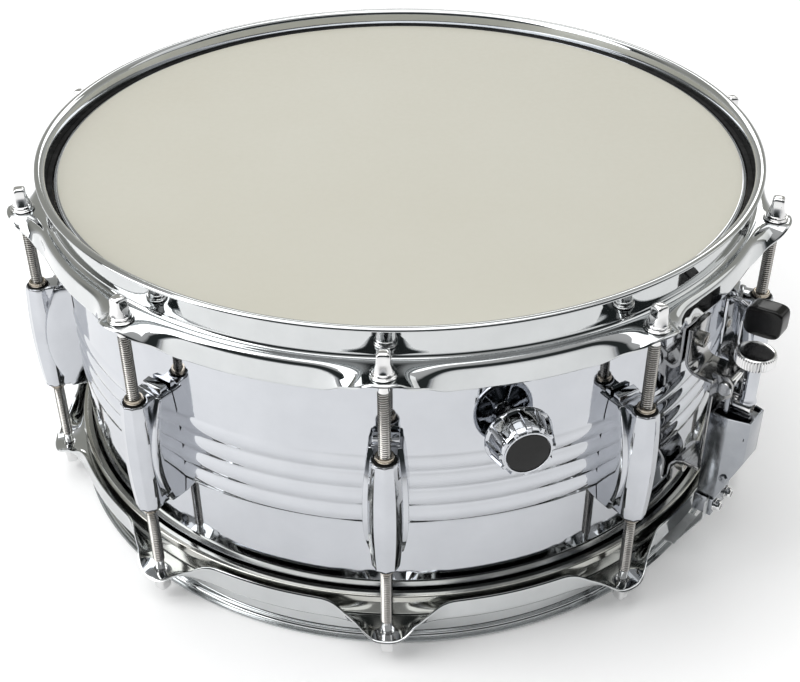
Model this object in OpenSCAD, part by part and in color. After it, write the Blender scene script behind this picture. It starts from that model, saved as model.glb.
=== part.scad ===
// Snare drum, 14 x 6.5 inch: beaded steel shell, ten lugs, throw-off strainer and internal muffler.
// Frame: +Z up, origin on the drum's axis at the level of the lower hoop's rim.
// Azimuth 0 is towards -Y and grows towards +X. In each at_azimuth() block X points
// outwards from the axis, Y runs round the drum and Z is up.

/* [Shell] */
// Outside diameter of the shell
shell_d = 355.6; // [350:0.1:360]
// Depth of the shell from bearing edge to bearing edge
shell_depth = 165; // [160:1:170]
// Thickness of the shell's steel sheet
shell_wall = 1.2; // [0.8:0.1:1.6]
// Number of rolled beads round the middle
bead_count = 4; // [1:1:4]
// Height of one bead
bead_pitch = 10.2; // [8:0.1:10.2]
// How far a bead stands out
bead_rise = 1.2; // [0.5:0.1:1.2]

/* [Hoops and heads] */
// How far the hoop's rim stands above the head
rim_rise = 8.25; // [7:0.25:9]
// Thickness of the head's film
film = 0.25; // [0.2:0.05:0.3]
// Thickness of the hoop's sheet
hoop_t = 1.6; // [1.4:0.1:1.8]
// Depth of a hoop from its rim to the edge of its skirt
hoop_depth = 29.4; // [28:0.1:30]

/* [Tension hardware] */
// Number of lugs, ears and rods to a side
lug_count = 10; // [10:1:10]
// Radius of the circle that the tension rods stand on
rod_circle_r = 193.5; // [193:0.1:194]
// Outside diameter of the rods' thread
rod_d = 5.6; // [5:0.1:5.8]
// Side of the rods' square heads
key_square = 6; // [5.8:0.05:6.4]
// Height of a lug
lug_h = 61; // [55:1:63]

/* [Strainer and snares] */
// Azimuth of the strainer; the butt plate sits opposite
strainer_az = 54; // [50:1:58]
// Number of wire strands
strand_count = 20; // [12:2:20]
// Width of the snare straps
strap_w = 26; // [20:1:30]

/* [Muffler] */
// Azimuth of the muffler's knob
muffler_az = 17.5; // [16:0.5:20]
// Largest diameter of the muffler's knob
knob_d = 31; // [28:0.5:32]

/* [Hidden] */
$fn = 96;
eps = 0.01;
shell_r = shell_d / 2;
inner_r = shell_r - shell_wall;
edge_z = rim_rise + film;
total_h = shell_depth + 2 * edge_z;
mid_z = total_h / 2;

// Hoop section, measured from its rim at z = 0
rim_in_r = 180.5;
rim_out_r = 185.7;
skirt_r = 188.5;
ledge_z = 16.4;
ear_z = 16.35;
ear_hole_d = 7;
ear_tip_r = 7.2;
// The skirt fans out towards an ear in steps: start angle, end angle, tilt from upright
ear_flares = [[2.2, 3.2, 76], [3.2, 4.2, 54], [4.2, 5.3, 36], [5.3, 6.7, 20], [6.7, 8.5, 8]];
ear_half_angle = 8.5;
flare_overlap = 0.4;

// Flesh hoops
flesh_in_r = shell_r + 0.55;
flesh_out_r = 184.4;
flesh_end_z = 29.8;

// Lugs and their inner pieces
lug_back_r = shell_r + bead_rise + 0.05;
lug_half_w = 7.9;
lug_barrel_r = 290;
// Side plates behind the nose: half width, and radii of their outlines seen from the front and the side
side_half_w = 10.2;
side_front_r = 179;
side_bow_r = 54.7;
side_reach = 194;
lug_bore_d = 10.8;
nut_d = 10.4;
nut_len = 14;
nut_collar_d = 8.8;
nut_collar_len = 2.6;
lug_screw_z = 24;
screw_d = 4;
screw_hole_d = 4.3;

// Rods, measured from the ear's outer face
washer_t = 1.4;
rod_top_z = total_h - ear_z;
rod_tip_z = mid_z + 9;

// Strainer, in its own at_azimuth() block
pivot = [199.5, 0, 111];
pin_d = 4;
lever_y = 10.2;
screw_x = 207.6;
housing_top_z = 95;
clamp_z = 38.5;
strap_t = 0.4;
strap_z = 7.8;
wire_end_x = 152;
plate_end_x = 166;

// Muffler, in its own at_azimuth() block
knob_z = 124;
knob_back_x = 187.1;
knob_front_x = 200.1;
arm_pivot = [169, 0, 107.5];

// ---- Placement helpers ----

module at_azimuth(a) rotate([0, 0, a - 90]) children();

module at_each_lug() for (i = [0 : lug_count - 1]) at_azimuth(i * 360 / lug_count) children();

// Flips a shape drawn for the lower side to the upper side
module upper() translate([0, 0, total_h]) mirror([0, 0, 1]) children();

// A cylinder along X from x0 to x1, at height z
module x_rod(d, x0, x1, y = 0, z = 0) translate([x0, y, z]) rotate([0, 90, 0]) cylinder(d = d, h = x1 - x0);

// A cylinder along Y from y0 to y1, at point (x, z)
module y_rod(d, y0, y1, x, z) translate([x, y1, z]) rotate([90, 0, 0]) cylinder(d = d, h = y1 - y0);

// A box given by its lowest and highest corners
module block(low, high) translate(low) cube(high - low);

// A plate from y0 to y1 whose outline lies in the X-Z plane
module xz_plate(points, y0, y1) translate([0, y1, 0]) rotate([90, 0, 0]) linear_extrude(y1 - y0) polygon(points);

// ---- Shell ----

function bead_out(z) = let (u = (z - mid_z) / bead_pitch + bead_count / 2)
    (u <= 0 || u >= bead_count) ? 0 : bead_rise * sin(180 * (u - floor(u)));

function bead_line(r) = [for (i = [0 : 8 * bead_count])
    let (z = mid_z + (i / 8 - bead_count / 2) * bead_pitch) [r + bead_out(z), z]];

function reversed(list) = [for (i = [len(list) - 1 : -1 : 0]) list[i]];

// Turned-in bearing edge: points of the lower end, outside then inside
edge_outside = [[shell_r - 4.2, edge_z], [shell_r - 1.5, edge_z], [shell_r, edge_z + 2.2]];
edge_inside = [[inner_r, edge_z + 3.4], [shell_r - 4.2, edge_z + 1.2]];

function flipped(list) = [for (p = reversed(list)) [p[0], total_h - p[1]]];

module shell_holes() {
    at_each_lug() for (s = [-1, 1]) x_rod(screw_hole_d, 170, 182, z = mid_z + s * lug_screw_z);
    at_azimuth(strainer_az) for (z = [49.5, 126]) x_rod(screw_hole_d, 170, 182, z = z);
    at_azimuth(strainer_az + 180) for (y = [-8, 8]) x_rod(screw_hole_d, 170, 182, y = y, z = 63);
    at_azimuth(muffler_az) x_rod(9.2, 170, 182, z = knob_z);
    at_azimuth(162) x_rod(12, 170, 182, z = 140);
}

module shell() color("gainsboro") difference() {
    rotate_extrude() polygon(concat(edge_outside, bead_line(shell_r), flipped(edge_outside),
        flipped(edge_inside), reversed(bead_line(inner_r)), edge_inside));
    shell_holes();
}

module vent_grommet() color("silver") at_azimuth(162) difference() {
    union() {
        x_rod(17, shell_r + 0.05, shell_r + 1.1, z = 140);
        x_rod(11.8, inner_r - 1.2, shell_r + 0.5, z = 140);
        x_rod(15, inner_r - 1.2, inner_r - 0.25, z = 140);
    }
    x_rod(9, 170, 185, z = 140);
}

// ---- Hoops: drawn for the lower side, rim down ----

// Section of the skirt swung outwards by tilt degrees about the ledge's edge
function skirt_section(tilt, len) = let (d = len * [sin(tilt), cos(tilt)],
    n = hoop_t / 2 * [cos(tilt), -sin(tilt)], c = [skirt_r - hoop_t / 2, ledge_z + hoop_t / 2])
    [c + n, c + n + d, c - n + d, c - n];

module hoop_band() rotate_extrude() polygon([
    [rim_in_r, 0], [rim_out_r, 0], [rim_out_r, hoop_t], [rim_in_r + hoop_t, hoop_t],
    [rim_in_r + hoop_t, ledge_z], [skirt_r, ledge_z], [skirt_r, ledge_z + hoop_t],
    [rim_in_r, ledge_z + hoop_t]]);

module skirt_sector(start, end, tilt)
    rotate([0, 0, start]) rotate_extrude(angle = end - start)
        polygon(skirt_section(tilt, hoop_depth - ledge_z - hoop_t / 2));

module ear() {
    translate([0, 0, ear_z]) linear_extrude(hoop_t) {
        translate([rod_circle_r, 0]) circle(r = ear_tip_r);
        polygon([[181.3, 11], [187, 11], [190, 8.2], [194.5, 7], [194.5, -7], [190, -8.2], [187, -11],
                 [181.3, -11]]);
    }
    for (f = ear_flares) {
        skirt_sector(f[0], f[1] + flare_overlap, f[2]);
        skirt_sector(-f[1] - flare_overlap, -f[0], f[2]);
    }
}

module hoop() difference() {
    union() {
        hoop_band();
        at_each_lug() {
            ear();
            skirt_sector(ear_half_angle, 360 / lug_count - ear_half_angle, 0);
        }
    }
    at_each_lug() translate([rod_circle_r, 0, 0]) cylinder(d = ear_hole_d, h = 30);
}

module batter_hoop() color("silver") upper() hoop();

module snare_side_hoop() color("silver") difference() {
    hoop();
    for (a = [0, 180]) at_azimuth(strainer_az + a) block([178, -18.5, 2.2], [184, 18.5, 13]);
}

// ---- Heads: drawn for the lower side ----

module head_film() rotate_extrude() polygon([
    [0, rim_rise], [flesh_in_r, rim_rise], [flesh_in_r, 24], [flesh_in_r - film, 24],
    [flesh_in_r - film, edge_z], [0, edge_z]]);

module flesh_hoop() rotate_extrude() polygon([
    [flesh_in_r, ledge_z + hoop_t], [flesh_out_r, ledge_z + hoop_t], [flesh_out_r, flesh_end_z - 1],
    [flesh_out_r - 1, flesh_end_z], [flesh_in_r + 0.6, flesh_end_z], [flesh_in_r, flesh_end_z - 0.6]]);

module batter_head() color("ivory") upper() head_film();
module snare_side_head() color("white") head_film();
module batter_flesh_hoop() color("gray") upper() flesh_hoop();
module snare_side_flesh_hoop() color("gray") flesh_hoop();

// ---- Lugs ----

// Plan outline of a lug: flat sides and a five-sided nose round the rod
module lug_plan() polygon(concat(
    [[178, lug_half_w]],
    [for (a = [78, 38, 0, -38, -78]) [rod_circle_r + lug_half_w * cos(a), lug_half_w * sin(a)]],
    [[178, -lug_half_w]]));

// Front outline: both sides are arcs, so the lug is widest at its middle
module lug_front(half_w, r) intersection() {
    translate([-half_w, -lug_h / 2]) square([2 * half_w, lug_h]);
    translate([half_w - r, 0]) circle(r = r, $fn = 720);
    translate([r - half_w, 0]) circle(r = r, $fn = 720);
}

// Lens-shaped sides: widest and deepest at the middle of the lug
module lug_sides() intersection() {
    translate([170, 0, mid_z]) rotate([90, 0, 90]) linear_extrude(40)
        lug_front(side_half_w, side_front_r);
    translate([side_reach - side_bow_r, 0, mid_z]) rotate([90, 0, 0])
        cylinder(r = side_bow_r, h = 40, center = true, $fn = 360);
}

module lug() difference() {
    union() {
        intersection() {
            translate([0, 0, mid_z - lug_h / 2]) linear_extrude(lug_h) lug_plan();
            translate([170, 0, mid_z]) rotate([90, 0, 90]) linear_extrude(40)
                lug_front(lug_half_w, lug_barrel_r);
        }
        lug_sides();
    }
    cylinder(r = lug_back_r, h = total_h, $fn = 360);
    translate([rod_circle_r, 0, 0]) cylinder(d = lug_bore_d, h = total_h);
    for (s = [-1, 1]) x_rod(screw_d + 0.2, 170, 187, z = mid_z + s * lug_screw_z);
}

module lugs() color("silver") at_each_lug() lug();

module swivel_nut() translate([rod_circle_r, 0, mid_z + lug_h / 2]) difference() {
    union() {
        translate([0, 0, -nut_len]) cylinder(d = nut_d, h = nut_len - 0.4);
        translate([0, 0, -1]) cylinder(d = nut_collar_d, h = 1 + nut_collar_len);
    }
    translate([0, 0, -nut_len - 1]) cylinder(d = rod_d + 0.1, h = nut_len + nut_collar_len + 2);
}

module swivel_nuts() color("tan") at_each_lug() {
    swivel_nut();
    upper() swivel_nut();
}

// Envelope of the coil spring that keeps a lug's two nuts apart
module lug_springs() color("dimgray") at_each_lug() translate([rod_circle_r, 0, 0]) difference() {
    translate([0, 0, mid_z - lug_h / 2 + nut_len]) cylinder(d = nut_d - 2.4, h = lug_h - 2 * nut_len);
    cylinder(d = rod_d + 1, h = total_h);
}

// A screw from inside the shell: head and shank, with a washer under the head
module inside_screw(z, y = 0, tip_x = 186) {
    x_rod(7.6, inner_r - 4.1, inner_r - 1.3, y = y, z = z);
    x_rod(screw_d, inner_r - 1.4, tip_x, y = y, z = z);
}

module lug_screws() color("silver") at_each_lug() for (s = [-1, 1]) {
    inside_screw(mid_z + s * lug_screw_z);
    difference() {
        x_rod(10, inner_r - 1.3, inner_r - 0.1, z = mid_z + s * lug_screw_z);
        x_rod(screw_hole_d, inner_r - 2, inner_r, z = mid_z + s * lug_screw_z);
    }
}

// ---- Tension rods: drawn for the upper side ----

module rod() translate([rod_circle_r, 0, 0]) {
    translate([0, 0, rod_tip_z]) cylinder(d = rod_d, h = rod_top_z - 7 - rod_tip_z);
    translate([0, 0, rod_top_z - 7.1]) cylinder(d = rod_d - 0.9, h = 7.1 + washer_t + 0.1);
    translate([0, 0, rod_top_z + washer_t]) cylinder(d = 9.4, h = 1.2);
    translate([0, 0, rod_top_z + washer_t + 1.2]) cylinder(d1 = 9.2, d2 = 6.6, h = 4.2);
    intersection() {
        translate([-key_square / 2, -key_square / 2, rod_top_z + washer_t + 1]) cube([key_square, key_square, 9.2]);
        translate([0, 0, rod_top_z]) cylinder(d1 = 16, d2 = 7, h = 11.6);
    }
}

module batter_rod(i) color("silver") at_azimuth((i - 1) * 360 / lug_count) rod();
module snare_rod(i) color("silver") at_azimuth((i - 1) * 360 / lug_count) upper() rod();

module rod_washer() translate([rod_circle_r, 0, rod_top_z]) difference() {
    cylinder(d = 11.8, h = washer_t);
    translate([0, 0, -eps]) cylinder(d = rod_d, h = washer_t + 2 * eps);
}

module rod_washers() color("silver") at_each_lug() {
    rod_washer();
    upper() rod_washer();
}

// ---- Strainer: base on the shell ----

foot_x = 178.2;
sheet = 2;
bend_r = 8;
base_y = [-11, 8.6];

// Quarter bend of the sheet, centred at (x, z); up is 1 for the upper foot and -1 for the lower
module foot_bend(x, z, up) intersection() {
    difference() {
        y_rod(2 * bend_r, base_y[0], base_y[1], x, z);
        y_rod(2 * (bend_r - sheet), base_y[0] - 1, base_y[1] + 1, x, z);
    }
    block([x - bend_r, base_y[0], up > 0 ? z - bend_r : z], [x, base_y[1], up > 0 ? z : z + bend_r]);
}

module strainer_base() color("darkgray") at_azimuth(strainer_az) difference() {
    union() {
        block([foot_x, base_y[0], 119.4], [foot_x + sheet, base_y[1], 136]);
        foot_bend(foot_x + bend_r, 119.5, 1);
        block([foot_x + bend_r - eps, base_y[0], 111.5], [194, base_y[1], 113.5]);
        block([192, -8.4, 58.5], [194, 8.4, 113.5]);
        block([foot_x + bend_r - eps, base_y[0], 58.5], [194, base_y[1], 60.5]);
        foot_bend(foot_x + bend_r, 52.5, -1);
        block([foot_x, base_y[0], 45], [foot_x + sheet, base_y[1], 52.6]);
        for (y = [-9.5, 7.9]) xz_plate([[192, 103.2], [199, 103.2], [203.4, 107], [203.4, 114.5],
            [200.6, 117], [192, 117]], y, y + 1.6);
        block([192, -9.5, 103.2], [194, 9.5, 113.5]);
    }
    y_rod(pin_d + 0.08, -12, 12, pivot[0], pivot[2]);
    for (z = [49.5, 126]) x_rod(screw_hole_d, 170, 182, z = z);
}

module outside_screw(z, y = 0) {
    x_rod(7.6, foot_x + sheet, foot_x + sheet + 2.8, y = y, z = z);
    x_rod(screw_d, 172, foot_x + sheet + 0.1, y = y, z = z);
    difference() {
        x_rod(8, inner_r - 3.9, inner_r - 0.6, y = y, z = z, $fn = 6);
        x_rod(screw_d, 160, 180, y = y, z = z);
    }
}

module strainer_base_screws() color("silver") at_azimuth(strainer_az) {
    outside_screw(49.5);
    outside_screw(126);
}

// ---- Strainer: housing, which the lever raises and lowers ----

module housing_plan(inset) polygon([
    [194.6 + inset, -10.2 + inset], [204 - inset / 4, -10.2 + inset], [214.2 - inset, -7.4 + inset * 0.8],
    [214.2 - inset, 7.4 - inset * 0.8], [204 - inset / 4, 10.2 - inset], [194.6 + inset, 10.2 - inset]]);

module housing_body(inset) difference() {
    translate([0, 0, 45 - inset]) linear_extrude(housing_top_z - 45 + 2 * inset) housing_plan(inset);
    translate([-0.93 * inset, 0, 0.37 * inset]) xz_plate([[204, 40], [204, 45.5], [214.3, 71], [218, 71],
        [218, 40]], -12, 12);
}

module strainer_housing() color("silver") at_azimuth(strainer_az) difference() {
    union() {
        difference() {
            housing_body(0);
            housing_body(1.2);
        }
        block([195, -3.6, 93], [213.6, 3.6, housing_top_z]);
    }
    translate([screw_x, 0, 90]) cylinder(d = screw_d + 0.1, h = 8);
}

module barrel_nut() color("silver") at_azimuth(strainer_az) difference() {
    x_rod(7.6, 196.4, 211, z = housing_top_z + 3.8);
    translate([screw_x, 0, 90]) cylinder(d = screw_d + 0.1, h = 20);
}

module screw_sleeve() color("silver") at_azimuth(strainer_az) difference() {
    union() {
        translate([screw_x, 0, 101.4]) cylinder(d = 7.5, h = 22.3);
        translate([screw_x, 0, 101.4]) cylinder(d1 = 9, d2 = 7.5, h = 3);
    }
    x_rod(7.6, 196.4, 214, z = housing_top_z + 3.8);
    translate([screw_x, 0, 90]) cylinder(d = screw_d + 0.1, h = 40);
}

// ---- Strainer: thumb screw, which sets the snare tension ----

wheel_r = 9.75;
wheel_teeth = 44;

module thumb_wheel() color("silver") at_azimuth(strainer_az) translate([screw_x, 0, 124]) difference() {
    linear_extrude(6.3) polygon([for (i = [0 : 2 * wheel_teeth - 1])
        (wheel_r - (i % 2) * 0.5) * [cos(180 * i / wheel_teeth), sin(180 * i / wheel_teeth)]]);
    translate([0, 0, 5.9]) cylinder(r = wheel_r - 1.8, h = 1);
    translate([0, 0, -1]) cylinder(d = screw_d, h = 5);
}

module tension_screw() color("silver") at_azimuth(strainer_az)
    translate([screw_x, 0, 77]) cylinder(d = screw_d, h = 51);

// ---- Strainer: slider and clamp, which the thumb screw draws up ----

module slider_block() color("silver") at_azimuth(strainer_az) difference() {
    union() {
        block([199.2, -6.2, 76], [211, 6.2, 87]);
        block([199.2, -7, 33], [200.9, 7, 77]);
        block([193.2, -9.5, 33], [200.9, 9.5, 43.6]);
    }
    translate([screw_x, 0, 70]) cylinder(d = screw_d + 0.1, h = 20);
    for (y = [-6, 6]) x_rod(3, 195, 202, y = y, z = clamp_z);
}

module clamp_plate() color("silver") at_azimuth(strainer_az) difference() {
    block([201.3, -9.5, 33], [203.5, 9.5, 43.6]);
    for (y = [-6, 6]) x_rod(3.2, 200, 205, y = y, z = clamp_z);
}

module clamp_screws() color("silver") at_azimuth(strainer_az) for (y = [-6, 6]) {
    x_rod(5.6, 203.5, 206.2, y = y, z = clamp_z);
    x_rod(3, 195.2, 203.6, y = y, z = clamp_z);
}

// ---- Strainer: throw-off lever ----

lever_outline = [[186.5, 117], [188.5, 109], [194, 104.6], [202, 104.6], [205.3, 108], [205.3, 113],
    [202, 117], [196, 120], [194.5, 124], [194.5, 136], [196, 137.6], [210, 139], [210, 145.5],
    [196, 145.5], [193, 147], [188.5, 147], [186.5, 145]];

module throw_lever() color("silver") at_azimuth(strainer_az) difference() {
    xz_plate(lever_outline, lever_y, lever_y + 2);
    y_rod(pin_d, 8, 16, pivot[0], pivot[2]);
}

// Rubber grip over the lever's tongue
module lever_cap() color("black") at_azimuth(strainer_az) difference() {
    union() {
        xz_plate([[197.5, 137.6], [199, 136.3], [213.4, 137.4], [215, 139], [215, 148], [213, 150],
            [199.5, 149], [197.5, 147]], 4.6, 12.8);
        xz_plate([[198.5, 138.6], [213.8, 138.6], [213.8, 148], [198.5, 148]], 3.6, 13.6);
    }
    xz_plate(lever_outline, lever_y, lever_y + 2);
}

module lever_pin() color("silver") at_azimuth(strainer_az) {
    y_rod(pin_d, -10.4, lever_y + 2, pivot[0], pivot[2]);
    y_rod(7, -11.2, -9.8, pivot[0], pivot[2]);
    y_rod(6.4, lever_y + 2, lever_y + 3, pivot[0], pivot[2]);
}

// ---- Snares ----

// A strap's section follows its path at even thickness, seen from the side
module strap(top_x, top_z, bend) xz_plate([
    [top_x, top_z], [top_x + strap_t, top_z], [top_x + strap_t, bend[1]], [190.6, 11.6], [189, strap_z - strap_t / 2],
    [plate_end_x + 0.4, strap_z - strap_t / 2], [plate_end_x + 0.4, strap_z + strap_t / 2],
    [188.8, strap_z + strap_t / 2], [190.2, 11.8], [top_x, bend[1] + 0.2]], -strap_w / 2, strap_w / 2);

module strainer_strap() color("whitesmoke") at_azimuth(strainer_az) difference() {
    strap(200.9, 43.6, [200, 32]);
    for (y = [-6, 6]) x_rod(3.2, 200, 203, y = y, z = clamp_z);
}

module butt_strap() color("whitesmoke") at_azimuth(strainer_az + 180) difference() {
    strap(191, 48.6, [191, 35]);
    for (y = [-8, 8]) x_rod(3.2, 190, 193, y = y, z = 43);
}

module snare_wires() color("lightgray") at_azimuth(strainer_az)
    for (i = [0 : strand_count - 1])
        x_rod(1.6, -wire_end_x, wire_end_x, y = 2 * (i - (strand_count - 1) / 2), z = 7.2, $fn = 24);

module wire_end_plates() color("silver") at_azimuth(strainer_az) for (s = [0, 180]) rotate([0, 0, s]) difference() {
    block([wire_end_x, -21.5, 6.4], [plate_end_x, 21.5, 7.4]);
    block([plate_end_x - 5, -strap_w / 2 - 1, 6], [plate_end_x - 3.6, strap_w / 2 + 1, 8]);
}

// ---- Butt plate, opposite the strainer ----

module butt_bracket() color("silver") at_azimuth(strainer_az + 180) difference() {
    union() {
        block([foot_x, -14, 36], [foot_x + sheet, 14, 70.3]);
        block([foot_x, -14, 36], [191, 14, 49]);
    }
    for (y = [-8, 8]) x_rod(screw_hole_d, 170, 182, y = y, z = 63);
    for (y = [-8, 8]) x_rod(3, 183.5, 192, y = y, z = 43);
}

module butt_clamp_plate() color("silver") at_azimuth(strainer_az + 180) difference() {
    block([191.4, -14, 37], [193.6, 14, 49]);
    for (y = [-8, 8]) x_rod(3.2, 190, 195, y = y, z = 43);
}

module butt_screws() color("silver") at_azimuth(strainer_az + 180) for (y = [-8, 8]) {
    x_rod(5.6, 193.6, 196.2, y = y, z = 43);
    x_rod(3, 184, 193.7, y = y, z = 43);
    outside_screw(63, y);
}

// ---- Muffler ----

knob_flutes = 12;

module muffler_knob() color("silver") at_azimuth(muffler_az) translate([knob_back_x, 0, knob_z]) rotate([0, 90, 0])
    difference() {
        union() {
            cylinder(d1 = knob_d - 0.6, d2 = 23, h = knob_front_x - knob_back_x);
            intersection() {
                cylinder(d1 = knob_d, d2 = 25, h = knob_front_x - knob_back_x);
                for (i = [0 : knob_flutes / 2 - 1]) rotate([0, 0, i * 360 / knob_flutes])
                    translate([-20, -1.1, 0]) cube([40, 2.2, 20]);
            }
        }
        difference() {
            translate([0, 0, -1]) cylinder(d1 = knob_d - 4, d2 = 21.6, h = 9);
            translate([0, 0, -2]) cylinder(d = 10, h = 11);
        }
        translate([0, 0, knob_front_x - knob_back_x - 0.8]) cylinder(d = 19.6, h = 2);
        translate([0, 0, -1]) cylinder(d = 6, h = 10);
    }

module muffler_inlay() color("black") at_azimuth(muffler_az) x_rod(19.5, knob_front_x - 0.8, knob_front_x - 0.2, z = knob_z);

module muffler_stem() color("silver") at_azimuth(muffler_az) x_rod(6, 167.4, knob_back_x + 8.9, z = knob_z);

module muffler_nut() color("silver") at_azimuth(muffler_az) difference() {
    x_rod(15, shell_r + 0.2, shell_r + 3.4, z = knob_z, $fn = 6);
    x_rod(9, 170, 190, z = knob_z);
}

module muffler_bracket() color("gray") at_azimuth(muffler_az) difference() {
    union() {
        block([174.6, -11, 103], [176.2, 11, 138]);
        x_rod(9, 170.4, shell_r + 3.4, z = knob_z);
        x_rod(14, 170.4, 175, z = knob_z);
        for (y = [-11, 9.4]) block([166, y, 103], [176.2, y + 1.6, 112]);
    }
    x_rod(6.1, 160, 190, z = knob_z);
    y_rod(3.1, -12, 12, arm_pivot[0], arm_pivot[2]);
}

module muffler_arm() color("gray") at_azimuth(muffler_az) {
    xz_plate([[167.2, 105.4], [170.8, 105.4], [170.8, 109.6], [166.4, 113], [164.4, 118], [164.4, 148],
        [151, 162.4], [151, 163.9], [120, 163.9], [120, 162.4], [150.2, 162.4], [162.9, 147.4], [162.9, 113]], -8, 8);
    y_rod(3, -11.2, 11.2, arm_pivot[0], arm_pivot[2]);
}

module muffler_felt() color("dimgray") at_azimuth(muffler_az) block([121, -15, 163.9], [149, 15, 170.4]);

// ---- Output: one node at a time, or all of them ----

shell();
vent_grommet();
batter_hoop();
snare_side_hoop();
batter_head();
batter_flesh_hoop();
snare_side_head();
snare_side_flesh_hoop();
lugs();
swivel_nuts();
lug_springs();
lug_screws();
rod_washers();
for (i = [1 : lug_count]) batter_rod(i);
for (i = [1 : lug_count]) snare_rod(i);
strainer_base();
strainer_base_screws();
strainer_housing();
barrel_nut();
screw_sleeve();
thumb_wheel();
tension_screw();
slider_block();
clamp_plate();
clamp_screws();
throw_lever();
lever_cap();
lever_pin();
strainer_strap();
snare_wires();
wire_end_plates();
butt_bracket();
butt_clamp_plate();
butt_screws();
butt_strap();
muffler_knob();
muffler_inlay();
muffler_stem();
muffler_bracket();
muffler_nut();
muffler_arm();
muffler_felt();
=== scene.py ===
import math
import bmesh
import bpy
from mathutils import Matrix, Vector


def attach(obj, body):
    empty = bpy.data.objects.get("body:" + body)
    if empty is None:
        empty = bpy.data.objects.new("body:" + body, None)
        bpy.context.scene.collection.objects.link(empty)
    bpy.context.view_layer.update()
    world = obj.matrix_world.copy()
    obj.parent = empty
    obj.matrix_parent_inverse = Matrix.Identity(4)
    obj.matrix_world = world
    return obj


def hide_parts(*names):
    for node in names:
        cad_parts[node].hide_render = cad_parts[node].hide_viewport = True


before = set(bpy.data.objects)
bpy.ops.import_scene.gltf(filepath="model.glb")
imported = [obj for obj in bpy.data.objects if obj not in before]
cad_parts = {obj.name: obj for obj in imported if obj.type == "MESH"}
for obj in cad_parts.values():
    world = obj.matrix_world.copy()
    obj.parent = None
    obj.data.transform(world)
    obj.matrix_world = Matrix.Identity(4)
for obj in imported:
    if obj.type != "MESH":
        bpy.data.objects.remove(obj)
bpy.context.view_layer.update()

MM = 0.001
LUGS = 10
PITCH = 360 / LUGS
STRAINER = 54.0
MUFFLER = 17.5
MUFFLER_Z = 124
VENT = 162
VENT_Z = 140
TOP = 182.0
MID = 91.0
ROD_R = 193.5
scene = bpy.context.scene


# ---------------------------------------------------------------- helpers
def world_point(az, p):
    """(outwards, round the drum, up) in mm at an azimuth, as metres in the frame."""
    a = math.radians(az)
    x, y, z = p
    return Vector((MM * (x * math.sin(a) + y * math.cos(a)), MM * (y * math.sin(a) - x * math.cos(a)), MM * z))


def flip_z(p):
    return (p[0], p[1], TOP - p[2])


def build(name, parts, mat, body, nodes=(), sharp=32, mats=None):
    """One object from [(verts in mm, faces, azimuth or None)], riding on a body."""
    verts, faces, slots = [], [], []
    for part in parts:
        vs, fs, az = part[:3]
        slot = part[3] if len(part) > 3 else 0
        base = len(verts)
        if az is None:
            verts += [Vector(v) * MM for v in vs]
        else:
            verts += [world_point(az, v) for v in vs]
        faces += [[base + i for i in f] for f in fs]
        slots += [slot] * len(fs)
    me = bpy.data.meshes.new(name)
    me.from_pydata([tuple(v) for v in verts], [], faces)
    for m in (mats or [mat]):
        me.materials.append(m)
    if mats:
        me.polygons.foreach_set("material_index", slots)
    bm = bmesh.new()
    bm.from_mesh(me)
    bmesh.ops.recalc_face_normals(bm, faces=bm.faces)
    limit = math.radians(sharp)
    for e in bm.edges:
        e.smooth = len(e.link_faces) == 2 and e.calc_face_angle(0) < limit
    for f in bm.faces:
        f.smooth = True
    bm.to_mesh(me)
    bm.free()
    ob = bpy.data.objects.new(name, me)
    scene.collection.objects.link(ob)
    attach(ob, body)
    if nodes:
        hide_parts(*nodes)
    return ob


def grid(points, wrap_u=True, wrap_v=True, cap=False):
    """Vertices and faces of rows of points; wrap_u joins the last row to the first, wrap_v each row's ends."""
    rows, cols = len(points), len(points[0])
    verts = [p for row in points for p in row]
    faces = []
    for i in range(rows if wrap_u else rows - 1):
        k = (i + 1) % rows
        for j in range(cols if wrap_v else cols - 1):
            m = (j + 1) % cols
            faces.append((i * cols + j, k * cols + j, k * cols + m, i * cols + m))
    if cap:
        faces.append(tuple(range(cols)))
        faces.append(tuple((rows - 1) * cols + j for j in range(cols)))
    return verts, faces


def turned(profile, centre=(0, 0), n=48, axis="z", closed=False):
    """Solid of revolution: profile of (radius, height), about Z at centre, or about X at centre = (y, z)."""
    rows = []
    for r, h in profile:
        row = []
        for i in range(n):
            t = 2 * math.pi * i / n
            if axis == "z":
                row.append((centre[0] + r * math.cos(t), centre[1] + r * math.sin(t), h))
            elif axis == "x":
                row.append((h, centre[0] + r * math.cos(t), centre[1] + r * math.sin(t)))
            else:
                row.append((centre[0] + r * math.cos(t), h, centre[1] + r * math.sin(t)))
        rows.append(row)
    return grid(rows, closed, True, not closed)


def ring(profile, n):
    """Ring about the drum's axis from a closed profile of (radius, z)."""
    rows = []
    for i in range(n):
        t = 2 * math.pi * i / n
        rows.append([(r * math.sin(t), -r * math.cos(t), z) for r, z in profile])
    return grid(rows, True, True)


def arc(cx, cy, r, a0, a1, n):
    """n + 1 points on an arc, angles in degrees."""
    return [(cx + r * math.cos(math.radians(a0 + (a1 - a0) * i / n)),
             cy + r * math.sin(math.radians(a0 + (a1 - a0) * i / n))) for i in range(n + 1)]


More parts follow.
